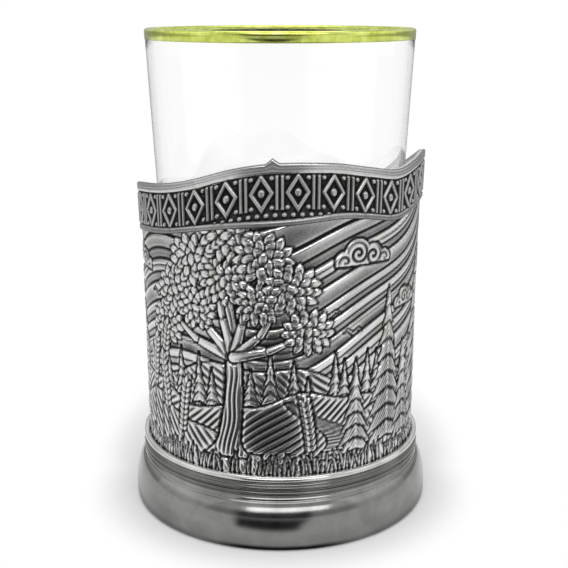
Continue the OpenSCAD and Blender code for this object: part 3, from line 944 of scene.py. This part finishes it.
PLATE_END_W = 16
PLATE_MIDDLE_W = 9.5
PLATE_HALF_SHARES = (
    (0, 0), (0.012, 0.3), (0.028, 0.4), (0.038, 0.72), (0.055, 0.93), (0.08, 1), (0.92, 1), (0.945, 0.93),
    (0.962, 0.72), (0.972, 0.4), (0.988, 0.3), (1, 0))
PLATE_GRID = (220, 49)
PLATE_SUNK = 0.36
PLATE_BORDER = 1.5
LAUREL_PITCH = 3.4
REACH = 36
STRAP_TOP_Z = 74
STRAP_LOW_Z = 20.6
STRAP_TOP = (10, 4.4)
STRAP_END = (5.4, 2.1)
ROUTE_STEP = 0.01
STRAP_ROWS = 420
STRAP_SIDES = 64
STRAP_SQUARENESS = 2 / 3
FIELD_DEPTH = 0.42
FIELD_EDGE = (0.74, 0.62)
FIELD_ENDS = (2.5, 4)
PEARL_PITCH = 3.1
PEARL_R = 1.15
PEARL_H = 0.62
RAIL_H = 0.06
STRAP_ROUTE_SHARES = (
    (-0.03, 0.94), (0.2, 0.985), (0.5, 1), (0.79, 0.94), (0.96, 0.79), (1, 0.61), (0.9, 0.43), (0.67, 0.29),
    (0.36, 0.205), (0.13, 0.13), (0.03, 0.055), (0.115, 0), (0.235, 0.035))
THUMB_W = 17
THUMB_T = 1.7
THUMB_CUP = 1.8
THUMB_LIFT = 1.4
THUMB_FROM = 0.55
THUMB_TO = 2.75
THUMB_WIDE = 0.6
THUMB_LOBES = 5
THUMB_GRID = (130, 97)
THUMB_NOTCH = 0.07
THUMB_FLUTES = 34
SEAT = 0.05


def plate_r(z):
    """Outer radius of the seam plate at height z."""
    return wall_r(z) + RIBBON_PROUD + PLATE_T


def skin_faces(rows, columns):
    """A closed skin over two grids of points, the outer one first, joined along their four borders."""
    faces = grid_faces(rows, columns)
    count = rows * columns
    faces += [tuple(count + i for i in reversed(face)) for face in faces]
    border = [c for c in range(columns)] + [r * columns + columns - 1 for r in range(1, rows)]
    border += [(rows - 1) * columns + c for c in range(columns - 2, -1, -1)]
    border += [r * columns for r in range(rows - 2, 0, -1)]
    for a, b in zip(border, border[1:] + border[:1]):
        faces.append((a, count + a, count + b, b))
    return faces


def make_plate():
    """The plate over the seam: a plain border and a sunk field with a chain of laurel leaves."""
    rows, columns = PLATE_GRID
    low, high = PLATE_LOW[2], PLATE_HIGH[2]
    share = np.linspace(0, 1, rows)
    keys = np.array(PLATE_HALF_SHARES)
    bow = np.cos(np.pi * np.clip((share - 0.08) / 0.84, 0, 1)) ** 2
    widest = PLATE_MIDDLE_W + (PLATE_END_W - PLATE_MIDDLE_W) * bow
    half = np.maximum(np.interp(share, keys[:, 0], keys[:, 1]) * widest / 2, 0.35)
    z = (low + (high - low) * share)[:, None] + np.zeros(columns)
    across = half[:, None] * np.linspace(-1, 1, columns)
    inside = np.minimum(half[:, None] - np.abs(across), np.minimum(z - low, high - z) * 1.2)
    leaf = np.cos(2 * np.pi * (z - 0.9 * np.abs(across)) / LAUREL_PITCH)
    spine = smooth_step(0.6, 0.25, np.abs(across))
    field = 0.3 * smooth_step(-0.2, 0.7, leaf) + 0.2 * spine - PLATE_SUNK
    h = np.where(inside > PLATE_BORDER, field, -PLATE_SUNK * smooth_step(0.9, 1.3, inside))
    h = h - 0.3 * smooth_step(0.5, 0, inside)
    radius = plate_r(z) + h
    outer = np.stack([across, np.sqrt(radius ** 2 - across ** 2), z], axis=-1).reshape(-1, 3)
    under = wall_r(z) + SEAT
    inner = np.stack([across, np.sqrt(under ** 2 - across ** 2), z], axis=-1).reshape(-1, 3)
    tone = np.concatenate([tone_of(h, 1, 3, False).ravel(), np.full(rows * columns, 0.4)])
    add_mesh("seam_plate_laurel", np.concatenate([outer, inner]), skin_faces(rows, columns), SILVER, "holder",
             ["seam_plate"], tone)


def strap_place(s):
    """Middle line of the strap at places s, counted in points of its route: distance along +Y, and height."""
    route = np.array(STRAP_ROUTE_SHARES)
    last = len(route) - 1
    i = np.clip(np.floor(s).astype(int), 0, last - 1)
    t = (s - i)[:, None]
    a, b, c, d = (route[np.clip(i + k, 0, last)] for k in (-1, 0, 1, 2))
    square, cube = 2 * a - 5 * b + 4 * c - d, 3 * b - a - 3 * c + d
    share = (2 * b + (c - a) * t + square * t ** 2 + cube * t ** 3) / 2
    z = STRAP_LOW_Z + (STRAP_TOP_Z - STRAP_LOW_Z) * share[:, 1]
    return np.stack([plate_r(z) + REACH * share[:, 0], z], axis=-1)


def strap_frame(s):
    """Places along the strap, directions square to it out of the loop, and its half width and depth."""
    place = strap_place(s)
    along = strap_place(s + ROUTE_STEP) - strap_place(s - ROUTE_STEP)
    along /= np.linalg.norm(along, axis=1)[:, None]
    share = (s / (len(STRAP_ROUTE_SHARES) - 1))[:, None]
    half = (np.array(STRAP_TOP) + (np.array(STRAP_END) - np.array(STRAP_TOP)) * share) / 2
    return place, np.stack([-along[:, 1], along[:, 0]], axis=-1), half


def strap_points(place, outward, across, out):
    """Points at distances across the strap and out of its middle line, one row for each place."""
    y = place[:, :1] + outward[:, :1] * out
    z = place[:, 1:] + outward[:, 1:] * out
    return np.stack([across + np.zeros_like(y), y, z], axis=-1).reshape(-1, 3)


def make_handle():
    """The strap: a rounded bar with two rails and a row of pearls down its outer face."""
    rows, sides = STRAP_ROWS, STRAP_SIDES
    place, outward, half = strap_frame(np.linspace(0, len(STRAP_ROUTE_SHARES) - 1, rows))
    turn = 2 * np.pi * (np.arange(sides) + 0.5) / sides
    wide, deep = squared(np.cos(turn), STRAP_SQUARENESS), squared(np.sin(turn), STRAP_SQUARENESS)
    across = half[:, :1] * wide
    out = half[:, 1:] * deep
    step = np.linalg.norm(np.diff(place, axis=0), axis=1)
    length = np.concatenate([[0], np.cumsum(step)])[:, None]
    along = (length / PEARL_PITCH - np.floor(length / PEARL_PITCH) - 0.5) * PEARL_PITCH
    pearl = 1 - np.hypot(along, across) / PEARL_R
    field = smooth_step(*FIELD_EDGE, np.abs(wide)) * (deep > 0)
    ends = smooth_step(0, FIELD_ENDS[0], length) * smooth_step(0, FIELD_ENDS[1], length[-1] - length)
    h = (PEARL_H * np.sqrt(np.clip(pearl, 0, 1)) - FIELD_DEPTH) * field * ends
    rail = smooth_step(0.16, 0.02, np.abs(np.abs(wide) - np.mean(FIELD_EDGE))) * (deep > 0)
    h = h + RAIL_H * rail * ends
    points = strap_points(place, outward, across, out + h)
    faces = grid_faces(rows, sides, wrap_columns=True)
    faces += [tuple(range(sides)), tuple(rows * sides - 1 - k for k in range(sides))]
    tone = np.clip(0.6 + 1.1 * (h + 0.12), 0, 1)
    add_mesh("handle_loop_pearled", points, faces, SILVER, "holder", ["handle_loop"], tone)


def make_thumb_rest():
    """The leaf on top of the strap: a fluted shell with a scalloped edge."""
    rows, columns = THUMB_GRID
    u = np.linspace(0, 1, rows)
    place, outward, half = strap_frame(THUMB_FROM + (THUMB_TO - THUMB_FROM) * u)
    grow = STRAP_TOP[0] + (THUMB_W - STRAP_TOP[0]) * np.sin(np.pi / 2 * np.clip(u / THUMB_WIDE, 0, 1))
    fade = THUMB_W * np.sqrt(1 - np.clip((u - THUMB_WIDE) / (1.04 - THUMB_WIDE), 0, 1) ** 2)
    wide = np.where(u < THUMB_WIDE, grow, fade) / 2
    lobe = 1 - np.abs(np.sin(np.pi * THUMB_LOBES * u))
    wide = (wide * (1 - THUMB_NOTCH * lobe))[:, None]
    x = wide * np.linspace(-1, 1, columns)
    cup = THUMB_CUP * (2 * x / THUMB_W) ** 2
    under = half[:, 1:] + SEAT + THUMB_LIFT * (u ** 3)[:, None] + cup
    fan = np.arctan2(x, 6 + 26 * u[:, None])
    flute = np.cos(fan * THUMB_FLUTES)
    edge = np.minimum(wide - np.abs(x), 28 * np.minimum(u, 1.02 - u)[:, None])
    h = (0.2 * flute - 0.1) * smooth_step(0.7, 1.5, edge) - 0.25 * smooth_step(0.3, 0, np.abs(edge - 1))
    top = under + THUMB_T * (1 - 0.6 * (x / wide) ** 2) + h * 0.9
    points = np.concatenate([strap_points(place, outward, x, top), strap_points(place, outward, x, under)])
    tone = np.concatenate([np.clip(0.62 + 1.3 * h, 0, 1).ravel(), np.full(rows * columns, 0.45)])
    add_mesh("thumb_rest_fluted", points, skin_faces(rows, columns), SILVER, "holder",
             ["thumb_rest"], tone)


make_plate()
make_handle()
make_thumb_rest()


# Floor, light and background

FLOOR_SIZE = 3000
# The grey of the floor shows only near the object, so it paints shadow there on top of the real one.
FLOOR_COLOUR = (0.84, 0.84, 0.84)
FLOOR_NEAR = 42
FLOOR_FAR = 57
FLOOR_SHARES = ((0.33, (1,)), (0.55, (0.4,)))
FLOOR_REACH = 900
FLOOR_FRONT = 300
SHADE_DEPTH = 800
SHADE_SHARES = ((0.065, (0,)), (0.075, (1,)), (0.15, (1,)), (0.25, (0.5,)), (0.5, (0.5,)), (1, (1,)))
SHADE_SPREAD = 0.62
SHADE_TURN = 0.125
SHADE_FROM = 17
SHADE_LEVEL = 0.03
# A painted contact shadow under the foot, seen only in reflections.
CONTACT_SHADOW = (42.2, 44)
CONTACT_SHADOW_ASIDE = (9, 22)
CONTACT_SHADOW_LOSS = 0.7
SHADOW_HALF = (53, 84)
SHADOW_BACK = 34
SHADOW_EDGE = (0.84, 1.1)
ROOM_HEIGHTS = ((0.0, (0.42,)), (0.16, (0.5,)), (0.3, (0.85,)), (0.8, (0.75,)))
DARK_HEIGHTS = ((0.22, (1,)), (0.29, (0,)))
AMBIENT = 0.66
WHITE = (1, 1, 1)
LAMPS = (
    ("front", (110, -1000, 490), (0, 0, 40), (1250, 340), 4.1),
    ("top", (0, 60, 1100), (0, 0, 40), (900, 900), 4.4),
    ("left", (-900, -150, 420), (0, 0, 50), (1000, 1000), 1.2),
    ("right", (950, -100, 420), (0, 0, 50), (1000, 1000), 1.4))


def one_minus(tree, value):
    return math_node(tree, "SUBTRACT", 1.0, value)


def seen_rays(tree):
    """1 for rays straight from the camera or through glass, and 1 for rays off polished surfaces."""
    path = add_node(tree, "LightPath", {}).outputs
    through = math_node(tree, "MAXIMUM", path["Is Camera Ray"], path["Is Transmission Ray"])
    return through, math_node(tree, "MULTIPLY", path["Is Glossy Ray"], one_minus(tree, through))


def in_front(tree, parts, back):
    """1 in the dark wedge of the room in front, by the parts of a place or a direction, and 0 outside it."""
    forward = math_node(tree, "MULTIPLY", parts["Y"], -1.0)
    turned = math_node(tree, "ADD", parts["X"], math_node(tree, "MULTIPLY", forward, SHADE_TURN))
    width = math_node(tree, "SUBTRACT", math_node(tree, "MULTIPLY", forward, SHADE_SPREAD), back)
    width = math_node(tree, "MAXIMUM", width, 0.0001)
    across = math_node(tree, "DIVIDE", math_node(tree, "ABSOLUTE", turned), width)
    return ramp(tree, across, ((0.75, (1,)), (1.0, (0,))))


def floor_shade(tree, parts, reach):
    """Painted shade on the floor, seen only in reflections: a wedge of dark room in front, and a painted
    contact shadow in a line under the foot.
    """
    depth = ramp(tree, math_node(tree, "MULTIPLY", parts["Y"], -1000 / SHADE_DEPTH), SHADE_SHARES)
    wedge = math_node(tree, "MULTIPLY", in_front(tree, parts, SHADE_FROM * MM), depth)
    aside = math_node(tree, "ABSOLUTE", parts["X"])
    aside = map_range(tree, aside, CONTACT_SHADOW_ASIDE[0] * MM, CONTACT_SHADOW_ASIDE[1] * MM)
    weight = one_minus(tree, math_node(tree, "MULTIPLY", aside, CONTACT_SHADOW_LOSS))
    # Painted contact shadow under the foot.
    foot = one_minus(tree, map_range(tree, reach, CONTACT_SHADOW[0] * MM, CONTACT_SHADOW[1] * MM))
    return math_node(tree, "MAXIMUM", wedge, math_node(tree, "MULTIPLY", foot, weight))


def past_shadow(tree, where, around):
    """0 where the grey floor is seen with its shade, round the foot and in an oval behind it, and 1 past
    that. The oval follows the shadow's shape, and its grey paints shadow also where none falls.
    """
    half_x, half_y = SHADOW_HALF
    oval = scaled(tree, where, (1 / (half_x * MM), 1 / (half_y * MM), 1), (0, -SHADOW_BACK / half_y, 0))
    return math_node(tree, "MINIMUM", around, map_range(tree, length_of(tree, oval), *SHADOW_EDGE))


def make_floor():
    """A white table that keeps the object's shadow, and turns into the plain white background further out.
    Its grey round the foot and in an oval behind it is partly painted shadow.
    """
    material, tree, shader = new_material("floor_white")
    feed(tree, shader, {"Base Color": FLOOR_COLOUR, "Roughness": 0.9, "Specular IOR Level": 0})
    through, mirrored = seen_rays(tree)
    where = object_coords(tree)
    parts, reach = parts_of(tree, where), length_of(tree, where)
    around = map_range(tree, reach, FLOOR_NEAR * MM, FLOOR_FAR * MM)
    direct = math_node(tree, "MULTIPLY", past_shadow(tree, where, around), through)
    share = math_node(tree, "MAXIMUM", direct, math_node(tree, "MULTIPLY", around, mirrored))
    # Painted shade in reflections: the table's white is dimmed further out, except in front.
    dim = ramp(tree, math_node(tree, "MULTIPLY", reach, 1000 / FLOOR_REACH), FLOOR_SHARES)
    dim = math_node(tree, "MAXIMUM", dim, one_minus(tree, map_range(tree, parts["Y"], -FLOOR_FRONT * MM, 0)))
    white = add_node(tree, "Emission", {"Strength": math_node(tree, "MAXIMUM", through, dim)})
    dark = add_node(tree, "Emission", {"Strength": SHADE_LEVEL})
    mixed = mix_shaders(tree, share, shader.outputs["BSDF"], white.outputs["Emission"])
    # Painted shade in reflections: the dark wedge in front and the contact shadow under the foot.
    shade = math_node(tree, "MULTIPLY", mirrored, floor_shade(tree, parts, reach))
    output = next(node for node in tree.nodes if node.type == "OUTPUT_MATERIAL")
    feed(tree, output, {"Surface": mix_shaders(tree, shade, mixed, dark.outputs["Emission"])})
    size = FLOOR_SIZE * MM
    mesh = bpy.data.meshes.new("floor")
    corners = [(-size, -size, 0), (size, -size, 0), (size, size, 0), (-size, size, 0)]
    mesh.from_pydata(corners, [], [(0, 1, 2, 3)])
    mesh.materials.append(material)
    floor = bpy.data.objects.new("floor", mesh)
    bpy.context.scene.collection.objects.link(floor)


def make_world():
    """White behind the object; a plain pale room for the light on it, with a dark part in front."""
    world = bpy.data.worlds.new("studio")
    bpy.context.scene.world = world
    world.use_nodes = True
    tree = world.node_tree
    tree.nodes.clear()
    parts = parts_of(tree, add_node(tree, "TexCoord", {}).outputs["Generated"])
    dark = math_node(tree, "MULTIPLY", in_front(tree, parts, 0), ramp(tree, parts["Z"], DARK_HEIGHTS))
    room = mix_colours(tree, dark, ramp(tree, parts["Z"], ROOM_HEIGHTS), (SHADE_LEVEL,) * 3)
    white, ambient, polished = (
        add_node(tree, "Background", {"Color": colour, "Strength": strength}).outputs["Background"]
        for colour, strength in ((WHITE, 1.0), (WHITE, AMBIENT), (room, 1.0)))
    through, mirrored = seen_rays(tree)
    lit = mix_shaders(tree, mirrored, ambient, polished)
    add_node(tree, "OutputWorld", {"Surface": mix_shaders(tree, through, lit, white)})


def add_lamp(name, place, target, size, watts):
    data = bpy.data.lights.new(name, "AREA")
    data.shape = "RECTANGLE"
    data.size, data.size_y = size[0] * MM, size[1] * MM
    data.energy = watts
    lamp = bpy.data.objects.new(name, data)
    lamp.location = [c * MM for c in place]
    aim = np.array(target, float) - np.array(place, float)
    length = float(np.hypot(aim[0], aim[1]))
    lamp.rotation_euler = (math.atan2(length, -aim[2]), 0, math.atan2(-aim[0], aim[1]))
    bpy.context.scene.collection.objects.link(lamp)


make_floor()
make_world()
for lamp in LAMPS:
    add_lamp(*lamp)
bpy.context.scene.view_settings.view_transform = "Standard"
